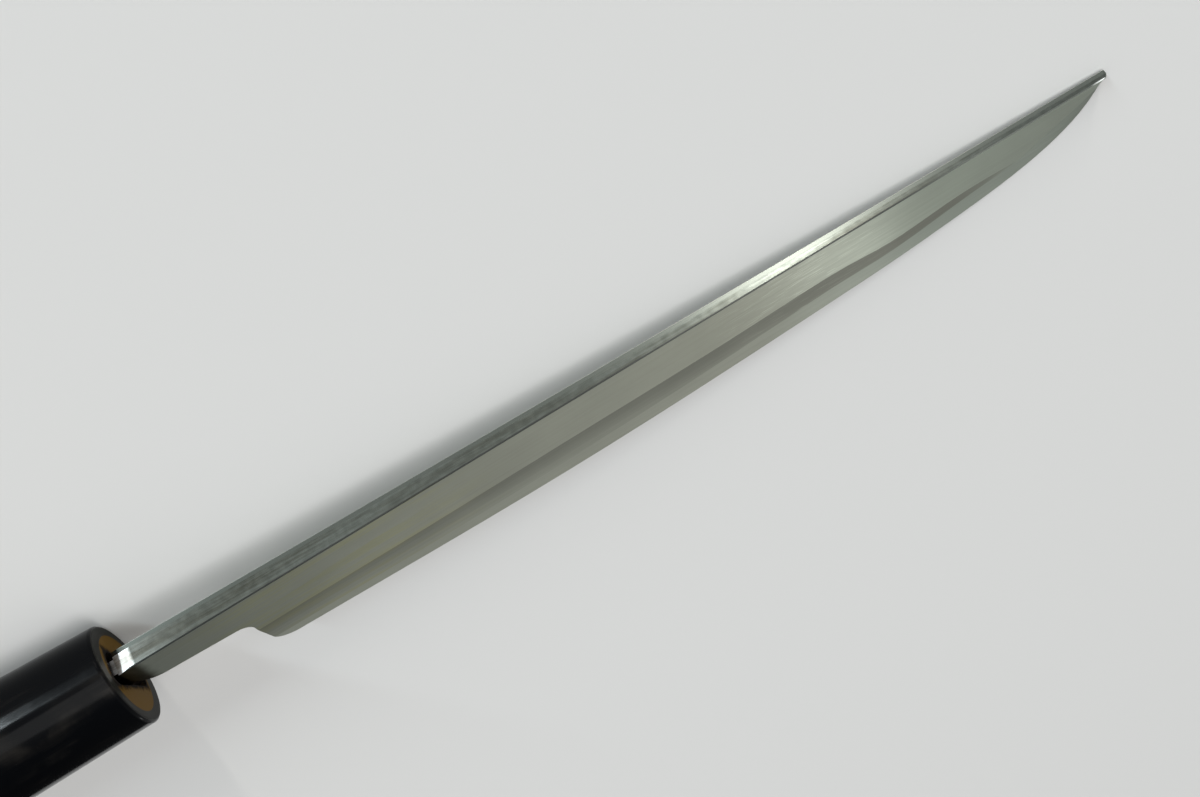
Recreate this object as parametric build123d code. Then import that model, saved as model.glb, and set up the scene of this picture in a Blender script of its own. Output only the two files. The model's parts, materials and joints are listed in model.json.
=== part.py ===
from build123d import *
import math
import os

# A yanagiba: a long single-bevel slicing knife with a laminated blade, a horn ferrule and an oval wooden
# handle. Sizes are in millimetres. While it is built, X runs along the handle's axis to the tip with 0 at the
# ferrule's front, Y points to the spine, and Z is square to the blade, out of the bevelled face. At the end
# the whole knife is laid down on the ground as it really rests: on the rim of the ferrule and on the edge
# near the tip.

# Blade
BLADE_LENGTH = 240.0
HEEL_HEIGHT = 32.8
NECK_LENGTH = 25.7
NECK_HEIGHT_BACK = 10.7
NECK_HEIGHT_FRONT = 12.5
NECK_CORNER_RADIUS = 6.5
NECK_FILLET_RADIUS = 3.2
HEEL_RADIUS = 5.2
SPINE_THICKNESS_BACK = 5.6
SPINE_THICKNESS_TIP = 2.1
SPINE_TAPER_POWER = 1.6
SPINE_SAG = 0.8
SPINE_EASE = 0.2
SPINE_END_SLOPE_LENGTH = 3.4
SPINE_END_SLOPE_DROP = 0.3
EDGE_THICKNESS = 0.12
BACK_STOCK = 0.4
TIP_RADIUS = 0.8
TIP_NOSE_RADIUS = 1.8
EDGE_STEEL_THICKNESS = 1.1

# Stations along the blade. Each has its place as a share of the blade's length, the edge's depth below the
# spine as a share of the heel's height, the ridge's depth as a share of the edge's, and the ridge's thickness
# as a share of the spine's. The first station is stock behind the neck, which is cut off. The ridge fades
# into a plain wedge towards the tip.
STATION_SHARES = (
    (-0.02, 1.000, 0.531, 0.72),
    (0.110, 1.000, 0.524, 0.73),
    (0.220, 1.000, 0.502, 0.76),
    (0.336, 0.998, 0.486, 0.78),
    (0.469, 0.966, 0.473, 0.80),
    (0.600, 0.895, 0.484, 0.80),
    (0.734, 0.800, 0.500, 0.79),
    (0.823, 0.712, 0.535, 0.74),
    (0.894, 0.608, 0.630, 0.57),
    (0.947, 0.465, 0.840, 0.27),
    (0.978, 0.300, 0.920, 0.13),
    (0.993, 0.160, 0.920, 0.12),
    (1.000, 0.055, 0.900, 0.14),
)

# Hollow grind of the back, between a flat rim along the spine and one along the edge
HOLLOW_DEPTH = 0.45
HOLLOW_SPINE_RIM = 2.2
HOLLOW_EDGE_RIM = 1.6
HOLLOW_LEAST_DEPTH = 0.02
# Each station's place as a share of the blade's length, and the share of the full depth that the grind
# has there
HOLLOW_SHARES = (
    (0.150, 0.00),
    (0.190, 0.70),
    (0.250, 1.00),
    (0.336, 1.00),
    (0.469, 1.00),
    (0.600, 1.00),
    (0.734, 1.00),
    (0.823, 0.95),
    (0.894, 0.80),
    (0.947, 0.00),
)

# Tang, drawn out of the soft iron alone
TANG_LENGTH = 96.0
TANG_HEIGHT_FRONT = 7.0
TANG_HEIGHT_END = 4.2
TANG_THICKNESS_FRONT = 3.5
TANG_THICKNESS_END = 2.6
TANG_SPINE_STEP = 1.2

# Seat of the blade in the handle
MACHI_GAP = 0.8
SPINE_ABOVE_AXIS = 7.5
BACK_BELOW_AXIS = 2.0
TANG_CLEARANCE = 0.05
SLOT_MOUTH_DEPTH = 7.0
SLOT_MARGIN = 1.1
SLOT_FRONT_MARGIN = 2.3
SLOT_LOW_WIDTH = 3.1
SLOT_LOW_WALL = 1.35
SLOT_TOP_RADIUS = 3.0
SLOT_LOW_RADIUS = 1.2

# Ferrule
FERRULE_LENGTH = 34.0
FERRULE_WIDTH_FRONT = 22.4
FERRULE_HEIGHT_FRONT = 28.4
FERRULE_HEIGHT_BACK = 30.4
FERRULE_RIM_RADIUS = 0.9
BORE_WIDTH = 17.7
BORE_HEIGHT = 21.1

# Wooden handle
HANDLE_LENGTH = 138.0
BUTT_HEIGHT = 31.8
BUTT_RADIUS = 3.0

# How the knife lies on the ground
REST_ROLL = 4.1

# Ring-shaped faces that make up a rounded end, and the length by which a cutter runs past what it cuts
ROUNDING_STEPS = 8
OVERRUN = 5.0

# Places that follow from the sizes
machi_x = MACHI_GAP
tip_x = machi_x + BLADE_LENGTH
back_z = -BACK_BELOW_AXIS
heel_x = machi_x + NECK_LENGTH


def spine_y(share):
    """Y of the spine, which sags a little between the handle and the tip."""
    return SPINE_ABOVE_AXIS - SPINE_SAG * 4 * share * (1 - share)


def spine_thickness(share):
    """Thickness of the spine, which thins quickly at first and slowly near the tip."""
    taper = (1 - share) ** SPINE_TAPER_POWER
    return SPINE_THICKNESS_TIP + (SPINE_THICKNESS_BACK - SPINE_THICKNESS_TIP) * taper


def blade_section(share, edge_share, ridge_share, ridge_thickness_share):
    """Section of the blade with stock still on its back: spine, flat, ridge, bevel and edge."""
    x = machi_x + share * BLADE_LENGTH
    top = spine_y(share)
    depth = edge_share * HEEL_HEIGHT
    thickness = spine_thickness(share)
    return make_face(
        Polyline(
            (x, top - SPINE_EASE - BACK_STOCK, back_z - BACK_STOCK),
            (x, top, back_z + SPINE_EASE),
            (x, top, back_z + thickness - SPINE_EASE),
            (x, top - SPINE_EASE, back_z + thickness),
            (x, top - ridge_share * depth, back_z + ridge_thickness_share * thickness),
            (x, top - depth, back_z + EDGE_THICKNESS),
            (x, top - depth, back_z - BACK_STOCK),
            close=True,
        )
    )


def hollow_section(share, depth_share):
    """Section of the grinding wheel's cut in the back, an arc between the two rims."""
    edge_share = edge_share_at(share)
    x = machi_x + share * BLADE_LENGTH
    top = spine_y(share) - HOLLOW_SPINE_RIM
    low = spine_y(share) - edge_share * HEEL_HEIGHT + HOLLOW_EDGE_RIM
    width_share = (top - low) / (HEEL_HEIGHT - HOLLOW_SPINE_RIM - HOLLOW_EDGE_RIM)
    rise = max(HOLLOW_DEPTH * depth_share * width_share**2, HOLLOW_LEAST_DEPTH)
    crown = ThreePointArc((x, top, back_z), (x, (top + low) / 2, back_z + rise), (x, low, back_z))
    below = Polyline(
        (x, low, back_z),
        (x, low, back_z - OVERRUN),
        (x, top, back_z - OVERRUN),
        (x, top, back_z),
    )
    return make_face([crown, below])


def edge_share_at(share):
    """Depth share of the edge at a place along the blade, straight between the stations beside it."""
    for (before, before_edge, *_), (after, after_edge, *_) in zip(STATION_SHARES, STATION_SHARES[1:]):
        if before <= share <= after:
            return before_edge + (after_edge - before_edge) * (share - before) / (after - before)
    return STATION_SHARES[-1][1]


def plan_cut(outline):
    """Cutter of a plan outline, through the whole thickness of the blade."""
    return Pos(0, 0, back_z - OVERRUN) * extrude(outline, SPINE_THICKNESS_BACK + 2 * OVERRUN)


def neck_cut():
    """Everything behind and below the neck, from its rounded lower corner to the rounded heel."""
    behind = machi_x + STATION_SHARES[0][0] * BLADE_LENGTH - OVERRUN
    above = SPINE_ABOVE_AXIS + OVERRUN
    heel_end = heel_x + HEEL_RADIUS
    heel_low = spine_y((heel_end - machi_x) / BLADE_LENGTH) - HEEL_HEIGHT
    underside = FilletPolyline(
        (machi_x, above),
        (machi_x, SPINE_ABOVE_AXIS - NECK_HEIGHT_BACK),
        (heel_x, SPINE_ABOVE_AXIS - NECK_HEIGHT_FRONT),
        (heel_x, heel_low + HEEL_RADIUS),
        radius=(NECK_CORNER_RADIUS, NECK_FILLET_RADIUS),
    )
    heel = CenterArc((heel_end, heel_low + HEEL_RADIUS), HEEL_RADIUS, 180, 90)
    outside = Polyline(
        (heel_end, heel_low),
        (heel_end, heel_low - OVERRUN),
        (behind, heel_low - OVERRUN),
        (behind, above),
        (machi_x, above),
    )
    return plan_cut(make_face([underside, heel, outside]))


def corner_outline(corner_x, corner_height, radius):
    """Outline of what lies outside a rounded corner that points forward and up."""
    rounding = CenterArc((corner_x - radius, corner_height - radius), radius, 0, 90)
    outside = Polyline(
        (corner_x - radius, corner_height),
        (corner_x - radius, corner_height + OVERRUN),
        (corner_x + OVERRUN, corner_height + OVERRUN),
        (corner_x + OVERRUN, corner_height - radius),
        (corner_x, corner_height - radius),
    )
    return make_face([rounding, outside])


def tip_cut():
    """Rounds the corner where the spine ends at the tip."""
    return plan_cut(corner_outline(tip_x, spine_y(1), TIP_RADIUS))


def tip_nose_cut():
    """Rounds the bevelled side of the spine's end at the tip, as it is seen from above."""
    seen_from_above = Plane((0, spine_y(1) + OVERRUN, 0), x_dir=(1, 0, 0), z_dir=(0, -1, 0))
    outline = corner_outline(tip_x, back_z + SPINE_THICKNESS_TIP, TIP_NOSE_RADIUS)
    return extrude(seen_from_above * outline, HEEL_HEIGHT + 2 * OVERRUN)


def spine_end_cut():
    """Wedge above the last stretch of the spine, which slopes down to the handle."""
    top = spine_y(0)
    outline = make_face(
        Polyline(
            (machi_x + SPINE_END_SLOPE_LENGTH, top),
            (machi_x, top - SPINE_END_SLOPE_DROP),
            (machi_x - OVERRUN, top - SPINE_END_SLOPE_DROP),
            (machi_x - OVERRUN, top + OVERRUN),
            (machi_x + SPINE_END_SLOPE_LENGTH, top + OVERRUN),
            close=True,
        )
    )
    return plan_cut(outline)


def tang_solid(clearance):
    """The tang, rooted in the neck, or with a clearance the slot that it is driven into."""
    root_x = machi_x + NECK_CORNER_RADIUS
    end_x = machi_x - TANG_LENGTH - clearance
    front_top = spine_y(0) - TANG_SPINE_STEP + clearance
    end_top = front_top - (TANG_HEIGHT_FRONT - TANG_HEIGHT_END) / 2
    front_back = back_z + EDGE_STEEL_THICKNESS - clearance
    end_back = front_back + (TANG_THICKNESS_FRONT - TANG_THICKNESS_END) / 2

    def section(x, top, height, back, thickness):
        low = top - height - 2 * clearance
        front = back + thickness + 2 * clearance
        corners = (x, top, back), (x, top, front), (x, low, front), (x, low, back)
        return make_face(Polyline(*corners, close=True))

    return loft(
        [
            section(root_x, front_top, TANG_HEIGHT_FRONT, front_back, TANG_THICKNESS_FRONT),
            section(end_x, end_top, TANG_HEIGHT_END, end_back, TANG_THICKNESS_END),
        ],
        ruled=True,
    )


def across(x):
    """Plane square to the handle's axis, with the knife's Y and Z as its own two directions."""
    return Plane((x, 0, 0), x_dir=(0, 1, 0), z_dir=(1, 0, 0))


def oval(x, height, inset):
    """Oval section of the handle, drawn in by an inset all round."""
    width = height * FERRULE_WIDTH_FRONT / FERRULE_HEIGHT_FRONT
    return across(x) * Ellipse(height / 2 - inset, width / 2 - inset)


def rounded_end(x, height, radius, outward):
    """Sections that round an end of the handle over, up to the end's flat. Outward is 1 or -1."""
    sections = []
    for step in range(ROUNDING_STEPS + 1):
        angle = math.pi / 2 * step / ROUNDING_STEPS
        step_x = x - outward * radius * (1 - math.sin(angle))
        sections.append(oval(step_x, height, radius * (1 - math.cos(angle))))
    return sections


def tenon_prism(back_x, front_x):
    """Straight oval of the bore and of the tenon in it."""
    return extrude(across(back_x) * Ellipse(BORE_HEIGHT / 2, BORE_WIDTH / 2), front_x - back_x)


def make_blade():
    """The whole forged and ground blade, cut into its two layers."""
    blank = loft([blade_section(*station) for station in STATION_SHARES])
    ground = split(blank, Plane((0, 0, back_z)), keep=Keep.TOP)
    ground -= neck_cut()
    ground -= spine_end_cut()
    ground -= tip_cut()
    ground -= tip_nose_cut()
    hollow = loft([hollow_section(*station) for station in HOLLOW_SHARES])
    ground -= hollow
    weld = Plane((0, 0, back_z + EDGE_STEEL_THICKNESS))
    cladding = split(ground, weld, keep=Keep.TOP) + tang_solid(0)
    edge_steel = split(ground, weld, keep=Keep.BOTTOM)
    return cladding, edge_steel


def make_ferrule():
    """Tapered oval ferrule with a rounded front rim and the bore for the tenon."""
    back = oval(-FERRULE_LENGTH, FERRULE_HEIGHT_BACK, 0)
    middle_x = -(FERRULE_LENGTH + FERRULE_RIM_RADIUS) / 2
    middle = oval(middle_x, (FERRULE_HEIGHT_BACK + FERRULE_HEIGHT_FRONT) / 2, 0)
    body = loft([back, middle, *rounded_end(0, FERRULE_HEIGHT_FRONT, FERRULE_RIM_RADIUS, 1)], ruled=True)
    return body - tenon_prism(-FERRULE_LENGTH - OVERRUN, OVERRUN)


def slot_mouth():
    """The slot's wide mouth in the tenon, which narrows away from the spine."""
    top = spine_y(0) + SLOT_MARGIN
    low = SLOT_LOW_WALL - BORE_HEIGHT / 2
    back = back_z - SLOT_MARGIN
    front = back_z + SPINE_THICKNESS_BACK + SLOT_FRONT_MARGIN
    outline = FilletPolyline(
        (top, back),
        (top, front),
        (low, back + SLOT_LOW_WIDTH),
        (low, back),
        radius=(SLOT_TOP_RADIUS, SLOT_TOP_RADIUS, SLOT_LOW_RADIUS, SLOT_LOW_RADIUS),
        close=True,
    )
    return extrude(across(-SLOT_MOUTH_DEPTH) * make_face(outline), SLOT_MOUTH_DEPTH + OVERRUN)


def make_handle():
    """Wooden grip and its tenon, with the slot for the tang."""
    front = oval(-FERRULE_LENGTH, FERRULE_HEIGHT_BACK, 0)
    grip = loft([front, *rounded_end(-HANDLE_LENGTH, BUTT_HEIGHT, BUTT_RADIUS, -1)], ruled=True)
    tenon = tenon_prism(-FERRULE_LENGTH - OVERRUN, 0)
    return grip + tenon - slot_mouth() - tang_solid(TANG_CLEARANCE)


def lay_down(parts):
    """Tip the knife onto the ferrule's rim and the tip, roll it to the edge side and set it on the ground."""
    rim_drop = FERRULE_WIDTH_FRONT / 2 - BACK_BELOW_AXIS
    pitch = math.degrees(math.atan2(rim_drop, tip_x))
    laid = [Rot(REST_ROLL, 0, 0) * (Rot(0, pitch, 0) * part) for part in parts]
    box = Compound([shape for part in laid for shape in part.solids()]).bounding_box()
    centre = box.center()
    return [Pos(-centre.X, -centre.Y, -box.min.Z) * part for part in laid]


cladding, edge_steel = make_blade()
names = ("blade_cladding", "blade_edge_steel", "ferrule", "handle")
knife = lay_down([cladding, edge_steel, make_ferrule(), make_handle()])
os.makedirs("parts", exist_ok=True)
for name, part in zip(names, knife):
    export_step(part, f"parts/{name}.step")
    print(name, round(part.volume, 1), part.bounding_box())
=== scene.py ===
# %% [markdown]
# A yanagiba is a long Japanese slicing knife. Its blade is ground on one side only: soft iron is
# forge-welded over a thin layer of hard steel, the spine thins towards the tip, and the back is hollow.
# A ring of black horn holds the end of the oval wooden handle together. The shapes come from the CAD
# model, so this lesson is about finish: satin iron, a misty bevel, a paler band of edge steel, polished
# horn and scorched wood.

# %% Load the knife
import bpy
import json
import math
from mathutils import Matrix, Quaternion, Vector

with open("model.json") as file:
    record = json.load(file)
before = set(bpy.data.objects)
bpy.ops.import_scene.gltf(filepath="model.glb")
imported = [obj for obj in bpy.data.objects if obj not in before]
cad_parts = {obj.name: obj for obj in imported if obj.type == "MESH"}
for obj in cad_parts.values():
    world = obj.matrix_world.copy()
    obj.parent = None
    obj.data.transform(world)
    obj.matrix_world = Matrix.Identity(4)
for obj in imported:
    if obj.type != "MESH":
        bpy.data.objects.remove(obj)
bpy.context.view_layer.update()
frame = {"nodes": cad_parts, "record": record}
scene = bpy.context.scene
MM = 0.001

# %% [markdown]
# The knife rests on the rim of its ferrule and on the edge near the tip, so it lies a little tilted.
# Finishes follow the blade and not the ground: scratches run along it, and the wood's fibres run along
# the handle. The record's mount is a flat on the back of the blade, and its direction gives the tilt.
# The middle of the ferrule's front face is the point where the knife's own axes start.

# %% The knife's own axes
FRONT_DEPTH = 0.1 * MM
mount = next(m for m in frame["record"]["mounts"] if m["name"] == "blade_back")
out = -Vector(mount["axis"]).normalized()
rest_pitch = math.asin(out.x)
rest_roll = math.atan2(-out.y, out.z)
turn = Matrix.Rotation(rest_roll, 3, "X") @ Matrix.Rotation(rest_pitch, 3, "Y")
along = turn.col[0]
turned = [turn.transposed() @ v.co for v in frame["nodes"]["ferrule"].data.vertices]
front_x = max(p.x for p in turned)
front = [p for p in turned if p.x > front_x - FRONT_DEPTH]
middle = [(min(p[k] for p in front) + max(p[k] for p in front)) / 2 for k in (1, 2)]
origin = turn @ Vector((front_x, *middle))
back_z = (turn.transposed() @ (Vector(mount["pos_m"]) - origin)).z
print("pitch", round(math.degrees(rest_pitch), 2), "roll", round(math.degrees(rest_roll), 2))
print("origin in mm", [round(v / MM, 2) for v in origin], "back plane", round(back_z / MM, 2))

# %% [markdown]
# The photograph looks along the knife from its spine side, from about a third of the way up, with the
# camera rolled over so that the tip points to the upper right. A camera can be given as a matrix, but a
# target, a distance and three angles say more to a reader and are easier to adjust.

# %% Camera
CAMERA_TARGET = Vector((0.0636, 0.0059, 0.0080))
CAMERA_DISTANCE = 0.3580
CAMERA_AZIMUTH = math.radians(180.195)
CAMERA_ELEVATION = math.radians(33.60)
CAMERA_ROLL = math.radians(151.35)
CAMERA_LENS = 51.0
CAMERA_NEAR = 0.01


def direction(azimuth, elevation):
    """Unit vector from the knife at an azimuth and an elevation. Azimuth 0 is in front, at -Y."""
    level = math.cos(elevation)
    return Vector((math.sin(azimuth) * level, -math.cos(azimuth) * level, math.sin(elevation)))


camera = bpy.data.objects.new("camera", bpy.data.cameras.new("camera"))
scene.collection.objects.link(camera)
camera.data.lens = CAMERA_LENS
camera.data.clip_start = CAMERA_NEAR
to_camera = direction(CAMERA_AZIMUTH, CAMERA_ELEVATION)
camera.location = CAMERA_TARGET + to_camera * CAMERA_DISTANCE
camera.rotation_mode = "QUATERNION"
camera.rotation_quaternion = (-to_camera).to_track_quat("-Z", "Y") @ Quaternion((0, 0, 1), CAMERA_ROLL)
scene.camera = camera
print("camera at", [round(v, 3) for v in camera.location])

# %% [markdown]
# A material is a tree of nodes. A few short helpers keep the trees readable: each makes one kind of
# node, fills its inputs with numbers or with the outputs of other nodes, and gives back what comes out
# of it.

# %% Helpers for single nodes
def node(tree, kind, inputs=None, **settings):
    """A new node with its settings, and its inputs as values or as the outputs of other nodes."""
    made = tree.nodes.new(kind)
    for name, value in settings.items():
        setattr(made, name, value)
    for name, value in (inputs or {}).items():
        if isinstance(value, bpy.types.NodeSocket):
            tree.links.new(value, made.inputs[name])
        else:
            made.inputs[name].default_value = value
    return made


def calc(tree, operation, *values):
    """Result of a sum of up to three numbers or outputs."""
    return node(tree, "ShaderNodeMath", dict(enumerate(values)), operation=operation).outputs[0]


def ramp(tree, value, low, high, to_low=0.0, to_high=1.0):
    """Smooth step of a value between two limits. A first limit above the second makes it fall."""
    inputs = {"Value": value, "From Min": low, "From Max": high, "To Min": to_low, "To Max": to_high}
    return node(tree, "ShaderNodeMapRange", inputs, interpolation_type="SMOOTHSTEP").outputs[0]


def mix_colours(tree, share, first, second, blend="MIX"):
    """Blend of two colours."""
    inputs = {0: share, 6: first, 7: second}
    return node(tree, "ShaderNodeMix", inputs, data_type="RGBA", blend_type=blend).outputs[2]


def mix_values(tree, share, first, second):
    """Blend of two numbers."""
    return node(tree, "ShaderNodeMix", {0: share, 2: first, 3: second}, data_type="FLOAT").outputs[0]


def noise(tree, vector, scale=1.0, detail=2.0, roughness=0.5):
    """Value of a noise texture."""
    inputs = {"Vector": vector, "Scale": scale, "Detail": detail, "Roughness": roughness}
    return node(tree, "ShaderNodeTexNoise", inputs).outputs[0]


def stretched(tree, vector, scale):
    """Coordinates scaled by their own factor along each axis."""
    return node(tree, "ShaderNodeVectorMath", {0: vector, 1: scale}, operation="MULTIPLY").outputs[0]


def parts(tree, vector):
    """The three parts of a vector, by name."""
    return node(tree, "ShaderNodeSeparateXYZ", {0: vector}).outputs


print("node helpers ready")

# %% [markdown]
# What several finishes share is a node group: a small tree with named inputs and outputs that is built
# once and placed in each material with its own values.

# %% Helpers for groups and materials
def group(name, inputs, outputs):
    """A new node group with its sockets, and its input and output nodes."""
    tree = bpy.data.node_groups.new(name, "ShaderNodeTree")
    for socket, kind, default in inputs:
        made = tree.interface.new_socket(socket, in_out="INPUT", socket_type=kind)
        if default is not None:
            made.default_value = default
    for socket, kind in outputs:
        tree.interface.new_socket(socket, in_out="OUTPUT", socket_type=kind)
    return tree, node(tree, "NodeGroupInput"), node(tree, "NodeGroupOutput")


def place(tree, made, inputs=None):
    """The outputs of a node group placed in a tree."""
    return node(tree, "ShaderNodeGroup", inputs, node_tree=made).outputs


def material(name):
    """A new material, its tree and its Principled shader."""
    made = bpy.data.materials.new(name)
    made.use_nodes = True
    return made, made.node_tree, made.node_tree.nodes["Principled BSDF"]


print("group helpers ready")

# %% [markdown]
# Every finish needs to know where it is on the knife. This group gives each point's place in
# millimetres along the knife's own axes, and the direction that the surface faces there: x along the
# blade, y to the spine and z out of the ground side. Texture coordinates from a UV map would stretch
# over the long blade; places in space never do.

# %% Place on the knife
place_group, given, result = group(
    "place_on_the_knife", [], [("Place", "NodeSocketVector"), ("Facing", "NodeSocketVector")]
)
coordinates = node(place_group, "ShaderNodeTexCoord")
geometry = node(place_group, "ShaderNodeNewGeometry")
turn_angles = turn.to_euler("XYZ")
place_inputs = {
    "Vector": coordinates.outputs["Object"],
    "Location": origin,
    "Rotation": turn_angles,
    "Scale": (MM, MM, MM),
}
facing_inputs = {"Vector": geometry.outputs["Normal"], "Rotation": turn_angles}
for name, inputs in (("Place", place_inputs), ("Facing", facing_inputs)):
    mapping = node(place_group, "ShaderNodeMapping", inputs, vector_type="TEXTURE")
    place_group.links.new(mapping.outputs[0], result.inputs[name])
print("group", place_group.name)

# %% [markdown]
# A polishing stone leaves fine lines along the blade. They could be bump alone, but at this scale a
# line is thinner than a pixel, so the group gives more: a height for the bump, a tone for colour and
# roughness, and the few deeper scratches that catch the light. Noise that is stretched many times along
# x looks like such lines.

# %% Polishing lines
LINE_ROUGHNESS = 0.6
BROAD_LINES = 0.13
SPARSE_LINES = 0.9
FINE_SHARE = 0.4
SCRATCH_EDGE = (0.66, 0.74)
lines_group, given, result = group(
    "polishing_lines",
    [
        ("Place", "NodeSocketVector", None),
        ("Spacing", "NodeSocketFloat", 0.2),
        ("Length", "NodeSocketFloat", 30.0),
    ],
    [("Height", "NodeSocketFloat"), ("Tone", "NodeSocketFloat"), ("Scratches", "NodeSocketFloat")],
)
finer = calc(lines_group, "DIVIDE", 1.0, given.outputs["Spacing"])
longer = calc(lines_group, "DIVIDE", 1.0, given.outputs["Length"])
line_scale = node(lines_group, "ShaderNodeCombineXYZ", {"X": longer, "Y": finer, "Z": finer}).outputs[0]
line_place = stretched(lines_group, given.outputs["Place"], line_scale)
fine = noise(lines_group, line_place, scale=1.0, detail=2.0, roughness=LINE_ROUGHNESS)
broad = noise(lines_group, line_place, scale=BROAD_LINES, detail=3.0, roughness=LINE_ROUGHNESS)
sparse = noise(lines_group, line_place, scale=SPARSE_LINES, detail=0.0)
lines_group.links.new(fine, result.inputs["Height"])
lines_group.links.new(calc(lines_group, "MULTIPLY_ADD", fine, FINE_SHARE, broad), result.inputs["Tone"])
lines_group.links.new(ramp(lines_group, sparse, *SCRATCH_EDGE), result.inputs["Scratches"])
print("group", lines_group.name)

# %% [markdown]
# Metal, horn and wood are never one even tone. Slow clouds of noise, with finer ones inside them, keep
# a surface alive without a pattern that the eye can find. The size is the width of a cloud in
# millimetres.

# %% Clouds
CLOUD_DETAIL = 4.0
clouds_group, given, result = group(
    "clouds",
    [("Place", "NodeSocketVector", None), ("Size", "NodeSocketFloat", 20.0)],
    [("Tone", "NodeSocketFloat")],
)
cloud_scale = calc(clouds_group, "DIVIDE", 1.0, given.outputs["Size"])
cloud_tone = noise(clouds_group, given.outputs["Place"], scale=cloud_scale, detail=CLOUD_DETAIL)
clouds_group.links.new(cloud_tone, result.inputs["Tone"])
print("group", clouds_group.name)

# %% [markdown]
# The two steels share the shape of the blade, so one group gives them both the masks that tell its
# surfaces apart. The way that a surface faces is nearly enough: the spine faces y, the flat faces z,
# and the bevel leans to the edge by several degrees more than the flat. The first masks are the spine
# and, at the ferrule, the short slope, which carries a painted highlight in its colour, with a faint
# trail of painted highlight along the spine.

# %% Masks of the spine and its slope
SPINE_FACING = (0.85, 0.95)
FRONT_FACING = (0.3, 0.5)
SLOPE_END = (5.2, 3.7)
HIGHLIGHT_TRAIL_END = (24.0, 6.0)
HIGHLIGHT_TRAIL_SHARE = 0.07
ZONES = ("Spine", "Slope", "Corner", "Back_highlight", "Bevel", "Back", "Hollow")
zones_group, given, result = group("blade_surfaces", [], [(name, "NodeSocketFloat") for name in ZONES])
knife = place(zones_group, place_group)
facing = parts(zones_group, knife["Facing"])
to_spine = facing["Y"]
to_front = facing["Z"]
spot = parts(zones_group, knife["Place"])
front_side = ramp(zones_group, to_front, *FRONT_FACING)
spine = ramp(zones_group, to_spine, *SPINE_FACING)
# A faint trail of painted highlight runs along the spine from the slope.
highlight_trail = ramp(zones_group, spot["X"], *HIGHLIGHT_TRAIL_END, 0.0, HIGHLIGHT_TRAIL_SHARE)
near_ferrule = calc(zones_group, "MAXIMUM", highlight_trail, ramp(zones_group, spot["X"], *SLOPE_END))
slope = calc(zones_group, "MULTIPLY", spine, near_ferrule)
print("spine and slope:", len(zones_group.nodes), "nodes so far")

# %% [markdown]
# Between the spine and the flat runs a fine dark line, which is painted shade on the corner. It follows
# the spine's sag, which is a parabola, and fades before the tip. The opposite corner, at the back, gets
# a painted highlight over the first third of the blade.

# %% Masks of the spine's corners
BLADE_START = 0.8
BLADE_LENGTH = 240.0
SPINE_HEIGHT = 7.5
SPINE_SAG = 0.8
LINE_EDGE = (-0.55, -0.25)
LINE_FADE = (215.0, 185.0)
ROUNDED = (0.35, 0.5)
BACK_HIGHLIGHT_SCALE = 0.06
BACK_HIGHLIGHT_EDGE = (0.15, 0.40)
BACK_HIGHLIGHT_FADE = (115.0, 75.0)
share = calc(zones_group, "MULTIPLY_ADD", spot["X"], 1 / BLADE_LENGTH, -BLADE_START / BLADE_LENGTH)
sag = calc(zones_group, "MULTIPLY", share, calc(zones_group, "SUBTRACT", 1.0, share))
under_spine = calc(zones_group, "MULTIPLY_ADD", sag, 4 * SPINE_SAG, spot["Y"])
under_spine = calc(zones_group, "SUBTRACT", under_spine, SPINE_HEIGHT)
# Painted shade along the front corner of the spine.
dark_line = ramp(zones_group, under_spine, *LINE_EDGE)
dark_line = calc(zones_group, "MULTIPLY", dark_line, ramp(zones_group, spot["X"], *LINE_FADE))
rounded = ramp(zones_group, to_spine, *ROUNDED)
corner = calc(zones_group, "MULTIPLY", calc(zones_group, "MAXIMUM", dark_line, rounded), front_side)
back_side = ramp(zones_group, to_front, -ROUNDED[0], -ROUNDED[1])
back_corner = calc(zones_group, "MULTIPLY", rounded, back_side)
# Painted highlight on the back corner, broken up by noise and fading along the blade.
highlight_breaks = ramp(zones_group, noise(zones_group, knife["Place"], scale=BACK_HIGHLIGHT_SCALE, detail=1.0), *BACK_HIGHLIGHT_EDGE)
highlight_breaks = calc(zones_group, "MULTIPLY", highlight_breaks, ramp(zones_group, spot["X"], *BACK_HIGHLIGHT_FADE))
painted_back_highlight = calc(zones_group, "MULTIPLY", back_corner, highlight_breaks)
print("with the corners:", len(zones_group.nodes), "nodes so far")

# %% [markdown]
# The bevel's mask fades over the last centimetres, because there the ridge is stoned away and the flat
# runs into the bevel. On the back, what lies above the back plane is the hollow.

# %% Masks of the bevel and the back
BEVEL_LEAN = (0.090, 0.135)
BEVEL_FADE = (230.0, 200.0)
BEVEL_AT_TIP = 0.15
BACK_FACING = (-0.5, -0.7)
HOLLOW_RISE = (0.015, 0.05)
lean = calc(zones_group, "MULTIPLY", to_spine, -1.0)
bevel = calc(zones_group, "MULTIPLY", ramp(zones_group, lean, *BEVEL_LEAN), front_side)
bevel_share = ramp(zones_group, spot["X"], *BEVEL_FADE, BEVEL_AT_TIP, 1.0)
bevel = calc(zones_group, "MULTIPLY", bevel, bevel_share)
back = ramp(zones_group, to_front, *BACK_FACING)
rise = calc(zones_group, "SUBTRACT", spot["Z"], back_z / MM)
hollow = calc(zones_group, "MULTIPLY", ramp(zones_group, rise, *HOLLOW_RISE), back)
for name, mask in zip(ZONES, (spine, slope, corner, painted_back_highlight, bevel, back, hollow)):
    zones_group.links.new(mask, result.inputs[name])
print("group", zones_group.name)

# %% [markdown]
# The finishes have steps in common, and each step is a helper: lines and clouds placed on the knife, a
# ragged edge, a colour made lighter or darker, and a shader that takes the colour, the roughness and a
# shallow bump. The tones named first are those between which nearly all lines and clouds lie.

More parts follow.
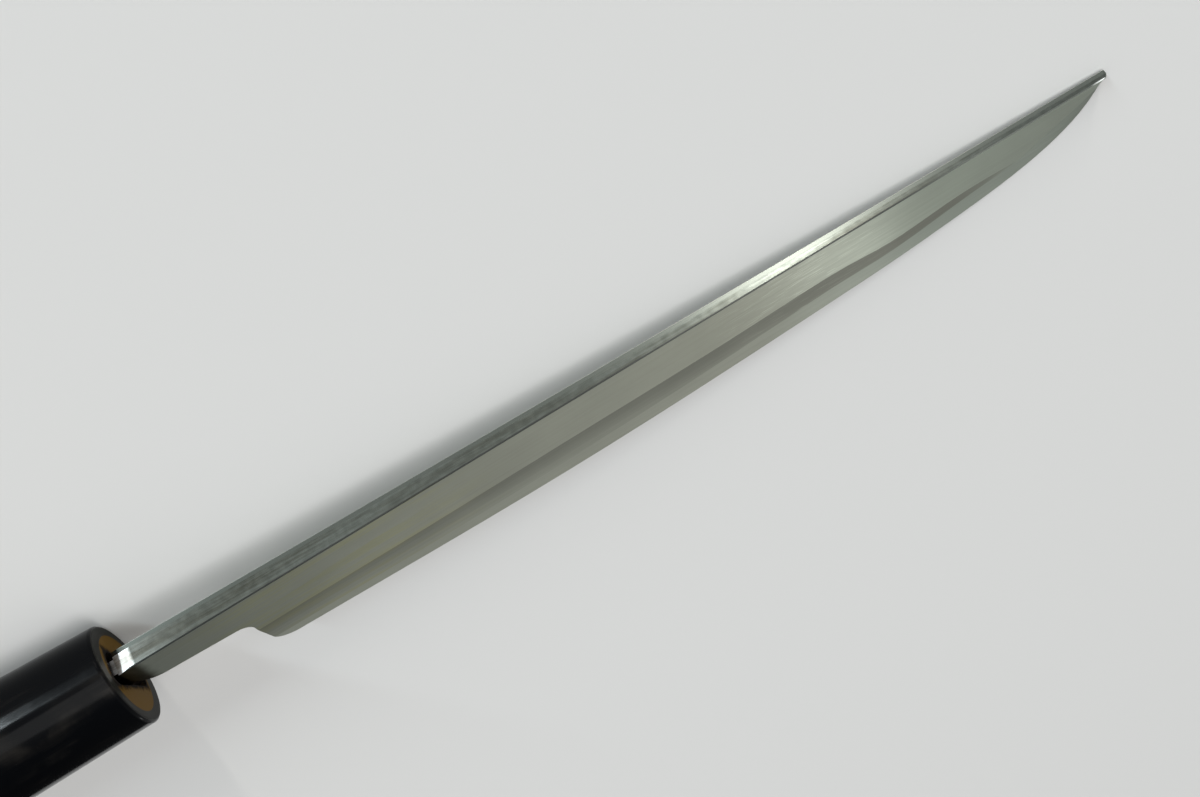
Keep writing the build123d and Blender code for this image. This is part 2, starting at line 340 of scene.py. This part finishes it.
# %% Helpers for finishes
LINE_TONES = (0.45, 0.95)
LINE_TONES_WIDE = (0.4, 1.0)
CLOUD_TONES = (0.3, 0.7)
RAGGED_DETAIL = 3.0


def lines_on(tree, knife, spacing, length):
    """Outputs of polishing lines on the knife, with their spacing and length in millimetres."""
    return place(tree, lines_group, {"Place": knife["Place"], "Spacing": spacing, "Length": length})


def clouds_on(tree, knife, size, low, high):
    """Clouds on the knife of a size in millimetres, as numbers between two limits."""
    tone = place(tree, clouds_group, {"Place": knife["Place"], "Size": size})["Tone"]
    return ramp(tree, tone, *CLOUD_TONES, low, high)


def ragged(tree, knife, scale):
    """Noise that makes the edge of a mask ragged."""
    return noise(tree, knife["Place"], scale=scale, detail=RAGGED_DETAIL)


def times(tree, colour, factor):
    """A colour multiplied by another."""
    return mix_colours(tree, 1.0, colour, factor, "MULTIPLY")


def shaded(tree, colour, shade):
    """A colour made lighter or darker by a number."""
    grey = node(tree, "ShaderNodeCombineXYZ", {"X": shade, "Y": shade, "Z": shade}).outputs[0]
    return times(tree, colour, grey)


def fill_shader(tree, shader, colour, gloss, height, depth):
    """Gives a shader its colour, its roughness, and a bump of a depth in metres."""
    bump = node(tree, "ShaderNodeBump", {"Strength": 1.0, "Distance": depth, "Height": height})
    tree.links.new(colour, shader.inputs["Base Color"])
    tree.links.new(gloss, shader.inputs["Roughness"])
    tree.links.new(bump.outputs[0], shader.inputs["Normal"])


print("finish helpers ready")

# %% [markdown]
# The body of the blade is soft iron. Seen closely it has many tones: the flat is satin and turns cooler
# towards the tip, the bevel is darkest under its ridge, the spine is painted darker towards the tip as
# shade, the iron at the ferrule is painted dark brown as shade, and the slope there is painted pale as a
# highlight. A mask from the group or a place along the blade blends each into the next.

# %% Tones of the soft iron
IRON_FLAT = (0.306, 0.318, 0.265, 1)
IRON_TIP = (0.301, 0.335, 0.281, 1)
IRON_RIDGE = (0.146, 0.151, 0.127, 1)
IRON_WELD = (0.222, 0.231, 0.195, 1)
IRON_SPINE = (0.150, 0.166, 0.151, 1)
# Painted shade that darkens the spine towards the tip.
IRON_SPINE_TIP_SHADE = (0.66, 0.66, 0.66, 1)
# Painted highlight on the spine's slope at the ferrule.
IRON_SLOPE_HIGHLIGHT = (0.900, 0.910, 0.915, 1)
# Painted shade along the spine's front corner, paler towards the tip.
IRON_CORNER_SHADE = (0.035, 0.038, 0.036, 1)
IRON_CORNER_SHADE_TIP = (0.085, 0.094, 0.086, 1)
# Painted highlight on the back corner and at the very tip.
IRON_PAINTED_HIGHLIGHT = (0.620, 0.650, 0.640, 1)
# Painted shade on the iron at the ferrule.
IRON_FERRULE_SHADE = (0.042, 0.037, 0.024, 1)
BEVEL_DEPTH = (9.0, 22.0)
TIP_BLEND = (140.0, 205.0)
SPINE_TIP_SHADE_BLEND = (188.0, 230.0)
CORNER_FADE = (185.0, 215.0)
PAINTED_GLINT = (236.0, 239.0)
FERRULE_SHADE_END = (8.0, 4.5)
FERRULE_SHADE_SCALE = 0.35
FERRULE_SHADE_RAGGED = 2.4


def iron_tones(tree, knife, zones, spot):
    """Colour of flat and bevel, painted shade at the ferrule and the spine's tip, painted highlight on
    the slope.
    """
    below = calc(tree, "MULTIPLY", spot["Y"], -1.0)
    bevel_colour = mix_colours(tree, ramp(tree, below, *BEVEL_DEPTH), IRON_RIDGE, IRON_WELD)
    flat_colour = mix_colours(tree, ramp(tree, spot["X"], *TIP_BLEND), IRON_FLAT, IRON_TIP)
    colour = mix_colours(tree, zones["Bevel"], flat_colour, bevel_colour)
    # Painted shade at the ferrule, with a ragged edge.
    ferrule_shade_edge = calc(tree, "MULTIPLY_ADD", ragged(tree, knife, FERRULE_SHADE_SCALE), FERRULE_SHADE_RAGGED, spot["X"])
    colour = mix_colours(tree, ramp(tree, ferrule_shade_edge, *FERRULE_SHADE_END), colour, IRON_FERRULE_SHADE)
    # Painted shade on the spine towards the tip.
    spine_tip_shade = ramp(tree, spot["X"], *SPINE_TIP_SHADE_BLEND)
    spine_colour = mix_colours(tree, spine_tip_shade, IRON_SPINE, IRON_SPINE_TIP_SHADE, "MULTIPLY")
    colour = mix_colours(tree, zones["Spine"], colour, spine_colour)
    # The slope's colour is a painted highlight.
    return mix_colours(tree, zones["Slope"], colour, IRON_SLOPE_HIGHLIGHT)


def iron_corner(tree, colour, zones, spot):
    """Painted shade along the spine's corner, paler towards the tip, and a painted highlight at its very
    end.
    """
    line = mix_colours(tree, ramp(tree, spot["X"], *CORNER_FADE), IRON_CORNER_SHADE, IRON_CORNER_SHADE_TIP)
    # A painted highlight at the corner's very end.
    line = mix_colours(tree, ramp(tree, spot["X"], *PAINTED_GLINT), line, IRON_PAINTED_HIGHLIGHT)
    only_corner = calc(tree, "SUBTRACT", zones["Corner"], zones["Spine"])
    mask = node(tree, "ShaderNodeClamp", {0: only_corner}).outputs[0]
    return mix_colours(tree, mask, colour, line)


print("tones of the iron from", IRON_CORNER_SHADE, "to", IRON_SLOPE_HIGHLIGHT)

# %% [markdown]
# A belt leaves short dark and pale streaks on the spine. On the flat near the heel, where hands and
# food touch the knife most, thin yellowish streaks of tarnish follow the same lines. Both could be
# drawn one by one, but a single set of streaks serves, with another range of its tone for each.

# %% Brushing and tarnish
BRUSHING = (0.45, 9.0)
STREAK_DARK = (0.64, 0.60, 0.54, 1)
STREAK_PALE = (1.32, 1.34, 1.36, 1)
TARNISH = (1.08, 1.05, 0.86, 1)
TARNISH_TONES = (0.70, 0.84)
TARNISH_MIDDLE = 48.0
TARNISH_REACH = (45.0, 10.0)


def distance_from(tree, spot, middle):
    """Distance along the blade from a place on it."""
    return calc(tree, "ABSOLUTE", calc(tree, "SUBTRACT", spot["X"], middle))


def brushed_and_tarnished(tree, colour, knife, zones, spot):
    """Streaks on the spine and tarnish on the rest."""
    tone = lines_on(tree, knife, *BRUSHING)["Tone"]
    streaks = mix_colours(tree, ramp(tree, tone, *LINE_TONES), STREAK_DARK, STREAK_PALE)
    colour = mix_colours(tree, zones["Spine"], colour, times(tree, colour, streaks))
    near_heel = ramp(tree, distance_from(tree, spot, TARNISH_MIDDLE), *TARNISH_REACH)
    tarnish = calc(tree, "MULTIPLY", near_heel, ramp(tree, tone, *TARNISH_TONES))
    tarnish = calc(tree, "MULTIPLY", tarnish, calc(tree, "SUBTRACT", 1.0, zones["Spine"]))
    return mix_colours(tree, tarnish, colour, times(tree, colour, TARNISH))


print("tarnish round", TARNISH_MIDDLE, "mm from the ferrule")

# %% [markdown]
# The shade is one number that lightens or darkens whatever colour is there. The polishing lines and
# slow clouds change it by a few percent. Painted shade darkens the flat towards the neck, small nicks
# are painted bright as a highlight where the flat's highlight falls, and the spine is mottled in spots
# of about two millimetres.

# %% Shade of the soft iron
IRON_CLOUDS = (18.0, 0.96, 1.04)
LINE_SHADE = (0.95, 1.04)
# Painted shade that darkens the flat towards the neck.
NECK_PAINTED_SHADE = 0.66
NECK_PAINTED_SHADE_END = (2.0, 62.0)
NICKS = (0.20, 5.0)
# Painted highlight on the nicks near the flat's highlight.
NICKS_HIGHLIGHT = 0.45
NICKS_HIGHLIGHT_MIDDLE = 165.0
NICKS_HIGHLIGHT_REACH = (30.0, 0.0)
MOTTLING = (1.8, -0.14, 0.14)


def iron_shade(tree, knife, zones, spot, tone):
    """Shade of the soft iron from its lines and clouds, painted neck shade, painted nick highlights and
    mottling.
    """
    clouds = clouds_on(tree, knife, *IRON_CLOUDS)
    shade = calc(tree, "MULTIPLY", ramp(tree, tone, *LINE_TONES, *LINE_SHADE), clouds)
    # Painted shade towards the neck, on all but the spine.
    neck = ramp(tree, spot["X"], *NECK_PAINTED_SHADE_END, NECK_PAINTED_SHADE, 1.0)
    shade = calc(tree, "MULTIPLY", shade, mix_values(tree, zones["Spine"], neck, 1.0))
    # Nicks are painted bright where the flat's highlight falls.
    under_highlight = ramp(tree, distance_from(tree, spot, NICKS_HIGHLIGHT_MIDDLE), *NICKS_HIGHLIGHT_REACH)
    lit_nicks = calc(tree, "MULTIPLY", lines_on(tree, knife, *NICKS)["Scratches"], under_highlight)
    shade = calc(tree, "MULTIPLY_ADD", lit_nicks, NICKS_HIGHLIGHT, shade)
    mottled = calc(tree, "MULTIPLY", clouds_on(tree, knife, *MOTTLING), zones["Spine"])
    return calc(tree, "ADD", shade, mottled)


print("shade at the neck", NECK_PAINTED_SHADE)

# %% [markdown]
# Lines along the blade spread a reflection across it, which an anisotropic metal does well: the tangent
# is the blade's direction, and a quarter turn puts the wide part of the highlight across it. The spine
# is polished sharper than the flat, the bevel is misty from the last stone, and the slope is rough, so
# that the highlight painted into its colour looks alike from every side.

# %% Soft iron
ANISOTROPY = 1.0
QUARTER_TURN = 0.25
IRON_LINES = (0.16, 40.0)
IRON_GLOSS = 0.34
IRON_ZONE_GLOSS = {"Bevel": 0.46, "Spine": 0.23, "Slope": 0.58}
LINE_GLOSS = (0.02, -0.02)
IRON_BUMP = 0.0005 * MM


def brushed_metal(tree, shader):
    """Makes a shader a metal whose highlight lies across the polishing lines."""
    tangent = node(tree, "ShaderNodeCombineXYZ", dict(zip("XYZ", along)))
    tree.links.new(tangent.outputs[0], shader.inputs["Tangent"])
    shader.inputs["Anisotropic"].default_value = ANISOTROPY
    shader.inputs["Anisotropic Rotation"].default_value = QUARTER_TURN
    shader.inputs["Metallic"].default_value = 1.0


def zone_gloss(tree, zones, gloss, others):
    """Roughness of the blade's surfaces: one value, and others where the masks say."""
    for name, value in others.items():
        gloss = mix_values(tree, zones[name], gloss, value)
    return gloss


soft_iron, tree, shader = material("soft_iron")
brushed_metal(tree, shader)
knife = place(tree, place_group)
zones = place(tree, zones_group)
spot = parts(tree, knife["Place"])
lines = lines_on(tree, knife, *IRON_LINES)
colour = iron_tones(tree, knife, zones, spot)
colour = iron_corner(tree, colour, zones, spot)
colour = brushed_and_tarnished(tree, colour, knife, zones, spot)
colour = shaded(tree, colour, iron_shade(tree, knife, zones, spot, lines["Tone"]))
gloss = zone_gloss(tree, zones, IRON_GLOSS, IRON_ZONE_GLOSS)
gloss = calc(tree, "ADD", gloss, ramp(tree, lines["Tone"], *LINE_TONES_WIDE, *LINE_GLOSS))
fill_shader(tree, shader, colour, gloss, lines["Height"], IRON_BUMP)
print("material", soft_iron.name)

# %% [markdown]
# The cutting edge and the whole back are hard steel. On the bevel it shows as a brighter band along the
# edge; on the back, two narrow flats are polished like a mirror and the hollow between them keeps the
# grinding lines. It could be one shiny metal, but the masks give each surface the polish that its own
# stone left.

# %% Edge steel
STEEL_BEVEL = (0.244, 0.254, 0.214, 1)
STEEL_TIP = (0.238, 0.265, 0.228, 1)
STEEL_BACK = (0.48, 0.50, 0.46, 1)
STEEL_HOLLOW = (0.40, 0.42, 0.38, 1)
# The back corner's painted highlight is laid on here.
STEEL_COLOURS = {"Spine": IRON_SPINE, "Back_highlight": IRON_PAINTED_HIGHLIGHT, "Back": STEEL_BACK, "Hollow": STEEL_HOLLOW}
STEEL_LINES = (0.12, 30.0)
STEEL_GRINDING = (0.45, 60.0)
STEEL_CLOUDS = (14.0, 0.97, 1.03)
STEEL_GLOSS = 0.44
STEEL_ZONE_GLOSS = {"Back": 0.24, "Hollow": 0.36, "Spine": 0.27}
STEEL_BUMP = 0.001 * MM
edge_steel, tree, shader = material("edge_steel")
brushed_metal(tree, shader)
knife = place(tree, place_group)
zones = place(tree, zones_group)
spot = parts(tree, knife["Place"])
lines = lines_on(tree, knife, *STEEL_LINES)
grinding = lines_on(tree, knife, *STEEL_GRINDING)
colour = mix_colours(tree, ramp(tree, spot["X"], *TIP_BLEND), STEEL_BEVEL, STEEL_TIP)
for name, zone_colour in STEEL_COLOURS.items():
    colour = mix_colours(tree, zones[name], colour, zone_colour)
line_shade = ramp(tree, lines["Tone"], *LINE_TONES, *LINE_SHADE)
shade = calc(tree, "MULTIPLY", line_shade, clouds_on(tree, knife, *STEEL_CLOUDS))
gloss = zone_gloss(tree, zones, STEEL_GLOSS, STEEL_ZONE_GLOSS)
height = mix_values(tree, zones["Hollow"], lines["Height"], grinding["Height"])
fill_shader(tree, shader, shaded(tree, colour, shade), gloss, height, STEEL_BUMP)
print("material", edge_steel.name)

# %% [markdown]
# Buffalo horn is almost black, with faint brown streaks where the light gets into it. A plain black
# would pass for plastic. So the streaks run along the ferrule, as horn grows in layers, and they come
# and go in clouds. Its side takes a polish, and its cut front stays matt and a little greyer. A low
# specular level keeps the pale studio from laying a grey veil over the black.

# %% Black horn
HORN_DARK = (0.0014, 0.0016, 0.0020, 1)
HORN_STREAK = (0.010, 0.009, 0.008, 1)
HORN_FRONT = (0.013, 0.013, 0.011, 1)
HORN_FIBRES = (1.6, 26.0)
HORN_STREAK_TONES = (0.66, 0.95)
HORN_CLOUD_SIZE = 9.0
HORN_CLOUD_TONES = (0.42, 0.7)
FRONT_FACE = (0.75, 0.98)
HORN_GLOSS_SIDE = 0.11
HORN_GLOSS_FRONT = 0.45
HORN_GLOSS_CLOUDS = (-0.02, 0.02)
HORN_BUMP = 0.012 * MM
LOW_SPECULAR = 0.06
black_horn, tree, shader = material("black_horn")
knife = place(tree, place_group)
fibres = lines_on(tree, knife, *HORN_FIBRES)
clouds = place(tree, clouds_group, {"Place": knife["Place"], "Size": HORN_CLOUD_SIZE})["Tone"]
front_face = ramp(tree, parts(tree, knife["Facing"])["X"], *FRONT_FACE)
streaky = ramp(tree, fibres["Tone"], *HORN_STREAK_TONES)
streaks = calc(tree, "MULTIPLY", streaky, ramp(tree, clouds, *HORN_CLOUD_TONES))
colour = mix_colours(tree, streaks, HORN_DARK, HORN_STREAK)
colour = mix_colours(tree, front_face, colour, HORN_FRONT)
gloss = mix_values(tree, front_face, HORN_GLOSS_SIDE, HORN_GLOSS_FRONT)
gloss = calc(tree, "ADD", gloss, ramp(tree, clouds, *CLOUD_TONES, *HORN_GLOSS_CLOUDS))
fill_shader(tree, shader, colour, gloss, fibres["Height"], HORN_BUMP)
shader.inputs["Specular IOR Level"].default_value = LOW_SPECULAR
print("material", black_horn.name)

# %% [markdown]
# The handle is magnolia, a soft pale wood with a close straight grain. A picture of wood would show a
# seam from some side, and a grain made from places in space has none. It is two things added up: fibres
# along the handle, and growth rings, which are a ring pattern squashed across the handle and almost
# endless along it. The end that shows at the front of the ferrule is browner, from heat and oil.

# %% Grain of the wood
WOOD_PALE = (0.46, 0.29, 0.135, 1)
WOOD_DARK = (0.31, 0.17, 0.070, 1)
WOOD_END = (0.104, 0.056, 0.006, 1)
WOOD_FIBRES = (0.35, 22.0)
RING_SCALE = (0.02, 0.42, 0.13)
RING_SHARE = 0.35
FIBRE_SHARE = 0.55
CUT_END = (-1.5, -0.3)


def wood_grain(tree, knife, spot, tone):
    """Colour of the wood from its fibres and rings, and of its cut end."""
    rings = node(
        tree,
        "ShaderNodeTexWave",
        {
            "Vector": stretched(tree, knife["Place"], RING_SCALE),
            "Scale": 1.0,
            "Distortion": 1.6,
            "Detail": 2.0,
            "Detail Scale": 1.2,
        },
        wave_type="RINGS",
        rings_direction="X",
    ).outputs["Fac"]
    fibrous = ramp(tree, tone, *LINE_TONES_WIDE)
    grain = calc(tree, "MULTIPLY_ADD", fibrous, FIBRE_SHARE, calc(tree, "MULTIPLY", rings, RING_SHARE))
    colour = mix_colours(tree, grain, WOOD_PALE, WOOD_DARK)
    return mix_colours(tree, ramp(tree, spot["X"], *CUT_END), colour, WOOD_END)


print("wood from", WOOD_PALE, "to", WOOD_DARK)

# %% [markdown]
# The tang is burnt in while it is hot, so the mouth of the slot is charred. The mask could be painted,
# but one made from places needs no picture. What drives it is the distance from the slot's outline, made
# ragged by noise: the largest of four distances, above, below, behind and in front of the slot, which
# is negative inside.

# %% Scorched slot
CHAR = (0.010, 0.008, 0.007, 1)
SLOT_TOP = 8.6
SLOT_LOW = -9.2
SLOT_BACK = -3.1
SLOT_FRONT = 3.0
SLOT_SLANT = 0.33
SCORCH_WIDTH = 1.6
SCORCH_SCALE = 0.9
SCORCH_RAGGED = 2.2
SCORCH_DEPTH = (-8.2, -7.2)


def scorched(tree, knife, spot):
    """Mask of the charred wood round the slot."""
    above = calc(tree, "SUBTRACT", spot["Y"], SLOT_TOP)
    below = calc(tree, "SUBTRACT", SLOT_LOW, spot["Y"])
    behind = calc(tree, "SUBTRACT", SLOT_BACK, spot["Z"])
    slanted_front = calc(tree, "MULTIPLY_ADD", spot["Y"], SLOT_SLANT, SLOT_FRONT)
    before = calc(tree, "SUBTRACT", spot["Z"], slanted_front)
    beyond = above
    for distance in (below, behind, before):
        beyond = calc(tree, "MAXIMUM", beyond, distance)
    texture = ragged(tree, knife, SCORCH_SCALE)
    shift = calc(tree, "MULTIPLY_ADD", texture, SCORCH_RAGGED, -SCORCH_RAGGED / 2)
    scorch = ramp(tree, calc(tree, "ADD", beyond, shift), SCORCH_WIDTH, 0.0)
    return calc(tree, "MULTIPLY", scorch, ramp(tree, spot["X"], *SCORCH_DEPTH))


print("slot", round(SLOT_TOP - SLOT_LOW, 1), "mm high")

# %% [markdown]
# With its grain and its char ready, the wood is quickly put together. Bare wood scatters light, so it
# is rough, and char is rougher still.

# %% Magnolia wood
WOOD_GLOSS = 0.55
CHAR_GLOSS = 0.85
WOOD_BUMP = 0.02 * MM
magnolia, tree, shader = material("magnolia_wood")
knife = place(tree, place_group)
spot = parts(tree, knife["Place"])
fibres = lines_on(tree, knife, *WOOD_FIBRES)
scorch = scorched(tree, knife, spot)
colour = mix_colours(tree, scorch, wood_grain(tree, knife, spot, fibres["Tone"]), CHAR)
gloss = mix_values(tree, scorch, WOOD_GLOSS, CHAR_GLOSS)
fill_shader(tree, shader, colour, gloss, fibres["Height"], WOOD_BUMP)
shader.inputs["Specular IOR Level"].default_value = LOW_SPECULAR
print("material", magnolia.name)

# %% [markdown]
# The pieces have their real forms already, so each keeps its mesh and only gets its material. The slots
# are the record's names for the same finishes.

# %% Dress the pieces
FINISHES = (
    ("blade_cladding", soft_iron, "soft_iron"),
    ("blade_edge_steel", edge_steel, "hard_steel"),
    ("ferrule", black_horn, "horn"),
    ("handle", magnolia, "light_wood"),
)
for name, finish, slot in FINISHES:
    piece = frame["nodes"][name]
    piece.data.materials.clear()
    piece.data.materials.append(finish)
    print(name, "in", finish.name)

# %% [markdown]
# The knife lies on a plain pale floor. A square plane would show its corners from some sides, so it is
# a disc that reaches so far that its rim is the horizon all round. Its tone there is near the world's,
# so that no line shows.

# %% Floor
FLOOR_RADIUS = 30.0
FLOOR_SIDES = 96
FLOOR_COLOUR = (0.64, 0.64, 0.63, 1)
FLOOR_GLOSS = 0.9
floor_mesh = bpy.data.meshes.new("floor")
turns = [2 * math.pi * k / FLOOR_SIDES for k in range(FLOOR_SIDES)]
rim = [(FLOOR_RADIUS * math.cos(t), FLOOR_RADIUS * math.sin(t), 0) for t in turns]
floor_mesh.from_pydata(rim, [], [tuple(range(FLOOR_SIDES))])
floor = bpy.data.objects.new("floor", floor_mesh)
scene.collection.objects.link(floor)
floor_paint, tree, shader = material("floor_paint")
shader.inputs["Base Color"].default_value = FLOOR_COLOUR
shader.inputs["Roughness"].default_value = FLOOR_GLOSS
shader.inputs["Specular IOR Level"].default_value = LOW_SPECULAR
floor_mesh.materials.append(floor_paint)
print("floor", 2 * FLOOR_RADIUS, "m wide")

# %% [markdown]
# Polished metal shows its surroundings more than its own colour, so the light is laid out by what each
# surface mirrors. The near side of the studio is even, and the spine mirrors it. The flat and the bevel
# mirror the far side: that is dark towards the handle and rises to a plain level past the middle of the
# blade, which gives the flat its slow gradient, and only right behind the handle is it light again, for
# the views from the tip.

# %% World
WORLD_LIGHT = 0.55
NEAR_SIDE = (-0.15, 0.25)
FAR_DARK = 0.03
FAR_LIGHT = 0.47
FAR_END = 0.43
FAR_RISE = (-0.32, 0.12)
FAR_FALL = (0.24, 0.70)
BEHIND_HANDLE = (-0.64, -0.40)
BEHIND_LIGHT = 0.50
world = bpy.data.worlds.new("studio")
world.use_nodes = True
sky = world.node_tree
looking = parts(sky, node(sky, "ShaderNodeTexCoord").outputs["Generated"])
rising = ramp(sky, looking["X"], *FAR_RISE, FAR_DARK, FAR_LIGHT)
falling = ramp(sky, looking["X"], *FAR_FALL, 1.0, FAR_END / FAR_LIGHT)
far_level = calc(sky, "MULTIPLY", rising, falling)
behind = ramp(sky, looking["X"], *BEHIND_HANDLE, BEHIND_LIGHT, 0.0)
far_level = calc(sky, "MAXIMUM", far_level, behind)
level = mix_values(sky, ramp(sky, looking["Y"], *NEAR_SIDE), far_level, WORLD_LIGHT)
sky.links.new(level, sky.nodes["Background"].inputs["Color"])
scene.world = world
print("world levels", FAR_DARK, "to", WORLD_LIGHT)

# %% [markdown]
# Three upright soft boxes make the highlights: one on the far side past the middle, for the bright
# stretch of the flat, and two narrow ones on the near side, for the spine and for the ferrule with the
# slope beside it. They stand six metres away, so they leave no pools of light on the floor. Each is
# given by the point on the knife that it serves, its direction from there, its size, brightness and
# colour. The general light is a very wide sun, which leaves only a soft shadow.

# %% Lamps
LAMP_DISTANCE = 6.0
LAMPS = (
    ("broad_lamp", (0.120, 0, 0), (13.4, 23), (0.38, 1.80), 7.6, (1, 1, 1)),
    ("spine_lamp", (0.106, 0, 0), (171.2, 8), (0.16, 1.60), 250.0, (1.0, 0.96, 0.90)),
    ("handle_lamp", (-0.049, 0, 0), (200.0, 16), (0.18, 2.20), 230.0, (0.84, 0.95, 1.0)),
)
KEY_DIRECTION = (math.radians(170), math.radians(58))
KEY_SPREAD = math.radians(50)
KEY_STRENGTH = 1.35


def add_lamp(name, target, angles, size, power, colour):
    """A soft box that faces a point of the knife, from an azimuth and an elevation in degrees."""
    light = bpy.data.lights.new(name, "AREA")
    light.shape = "RECTANGLE"
    light.size, light.size_y = size
    light.energy = power
    light.color = colour
    lamp = bpy.data.objects.new(name, light)
    scene.collection.objects.link(lamp)
    towards = direction(*[math.radians(angle) for angle in angles])
    lamp.location = Vector(target) + towards * LAMP_DISTANCE
    lamp.rotation_mode = "QUATERNION"
    lamp.rotation_quaternion = towards.to_track_quat("Z", "Y")
    lamp.visible_camera = False
    return lamp


for values in LAMPS:
    lamp = add_lamp(*values)
    print(lamp.name, [round(v, 2) for v in lamp.location])
key = bpy.data.objects.new("key_light", bpy.data.lights.new("key_light", "SUN"))
key.data.energy = KEY_STRENGTH
key.data.angle = KEY_SPREAD
key.rotation_mode = "QUATERNION"
key.rotation_quaternion = direction(*KEY_DIRECTION).to_track_quat("Z", "Y")
scene.collection.objects.link(key)
scene.view_settings.view_transform = "Standard"
print(key.name, round(math.degrees(KEY_SPREAD)), "degrees wide")

# %% [markdown]
# Last, the script brings the view layer up to date.

# %% Update the scene
bpy.context.view_layer.update()
